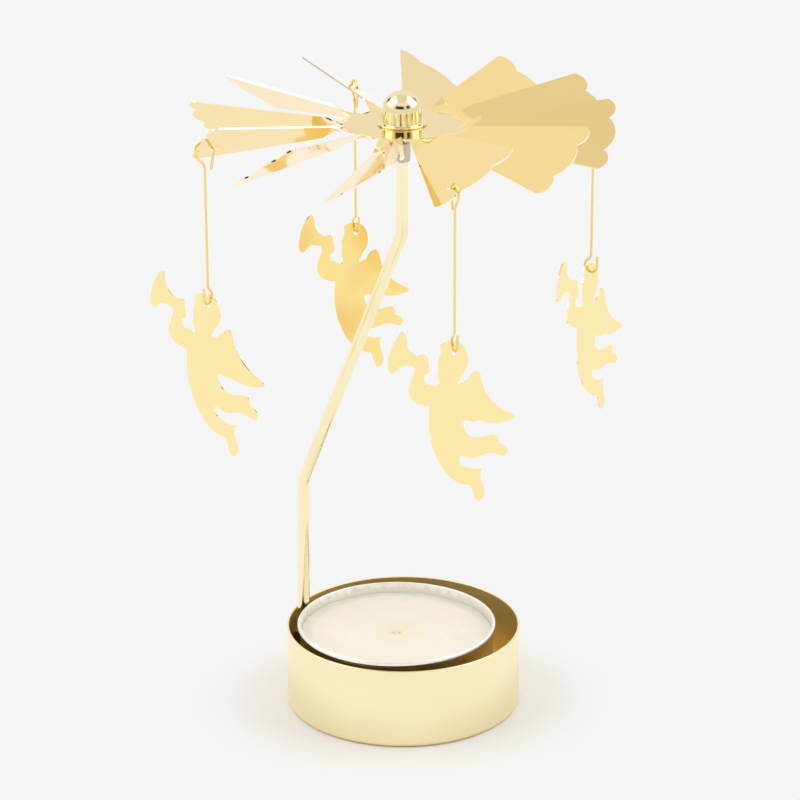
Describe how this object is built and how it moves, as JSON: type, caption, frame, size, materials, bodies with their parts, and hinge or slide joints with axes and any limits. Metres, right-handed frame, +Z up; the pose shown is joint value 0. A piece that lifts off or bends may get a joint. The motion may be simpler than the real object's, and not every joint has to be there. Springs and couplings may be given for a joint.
{
  "type": "angel chime carousel",
  "caption": "Tealight cup with a bent stem that carries a heat-driven vane wheel on a needle, hung with flat trumpeting angels on wires.",
  "frame": {"origin": "centre of the cup's flat underside", "axes": "+Z up along the wheel's spin axis, -X towards the foot of the stem; the pictured side is about 20 degrees from -Y towards +X"},
  "size_m": [0.0828, 0.0791, 0.1233],
  "materials": {
    "gold_satin": "satin gold plate on drawn steel",
    "gold_rod": "polished gold plate on a steel rod",
    "gold_bright": "mirror-bright gold plate on thin sheet",
    "gold_wire": "gold plated wire",
    "nickel": "nickel plate, polished",
    "steel": "ground steel",
    "braze": "brazing metal",
    "aluminium_foil": "pressed aluminium foil, bright",
    "wax": "white paraffin wax, slightly translucent",
    "wick": "braided cotton, waxed",
    "tin": "tinned sheet"
  },
  "bodies": {
    "stand": {"cup": "gold_satin", "stem": "gold_rod", "stem_braze": "braze", "stem_ferrule": "nickel", "pivot_needle": "steel"},
    "wheel": {"vane_wheel": "gold_bright", "hub_cap": "gold_bright"},
    "tealight": {"tealight_cup": "aluminium_foil", "tealight_wax": "wax", "tealight_wick": "wick", "wick_sustainer": "tin"},
    "hanger_right": {"hanger_right": "gold_wire"},
    "angel_right": {"angel_right": "gold_bright"},
    "hanger_back": {"hanger_back": "gold_wire"},
    "angel_back": {"angel_back": "gold_bright"},
    "hanger_left": {"hanger_left": "gold_wire"},
    "angel_left": {"angel_left": "gold_bright"},
    "hanger_front": {"hanger_front": "gold_wire"},
    "angel_front": {"angel_front": "gold_bright"}
  },
  "joints": [
    {"name": "wheel_spin", "type": "hinge", "parent": "stand", "child": "wheel", "pos_m": [0, 0, 0.1168], "axis": [0, 0, 1], "continuous": true},
    {"name": "hanger_right_swing", "type": "hinge", "parent": "wheel", "child": "hanger_right", "pos_m": [0.03076, 0.02099, 0.11419], "axis": [0.6361, -0.7716, 0], "range_deg": [-8, 45]},
    {"name": "angel_right_swing", "type": "hinge", "parent": "hanger_right", "child": "angel_right", "pos_m": [0.03076, 0.02099, 0.08504], "axis": [-0.9703, 0.2419, 0], "range_deg": [-20, 20]},
    {"name": "hanger_back_swing", "type": "hinge", "parent": "wheel", "child": "hanger_back", "pos_m": [-0.02099, 0.03076, 0.11419], "axis": [0.7716, 0.6361, 0], "range_deg": [-8, 45]},
    {"name": "angel_back_swing", "type": "hinge", "parent": "hanger_back", "child": "angel_back", "pos_m": [-0.02099, 0.03076, 0.08504], "axis": [-0.7431, 0.6691, 0], "range_deg": [-20, 20]},
    {"name": "hanger_left_swing", "type": "hinge", "parent": "wheel", "child": "hanger_left", "pos_m": [-0.03076, -0.02099, 0.11419], "axis": [-0.6361, 0.7716, 0], "range_deg": [-8, 45]},
    {"name": "angel_left_swing", "type": "hinge", "parent": "hanger_left", "child": "angel_left", "pos_m": [-0.03076, -0.02099, 0.08504], "axis": [0.1564, 0.9877, 0], "range_deg": [-20, 20]},
    {"name": "hanger_front_swing", "type": "hinge", "parent": "wheel", "child": "hanger_front", "pos_m": [0.02099, -0.03076, 0.11419], "axis": [-0.7716, -0.6361, 0], "range_deg": [-8, 45]},
    {"name": "angel_front_swing", "type": "hinge", "parent": "hanger_front", "child": "angel_front", "pos_m": [0.02099, -0.03076, 0.08504], "axis": [-0.6691, 0.7431, 0], "range_deg": [-20, 20]},
    {"name": "tealight_lift", "type": "slide", "parent": "stand", "child": "tealight", "axis": [0, 0, 1], "range_m": [0, 0.02]}
  ]
}
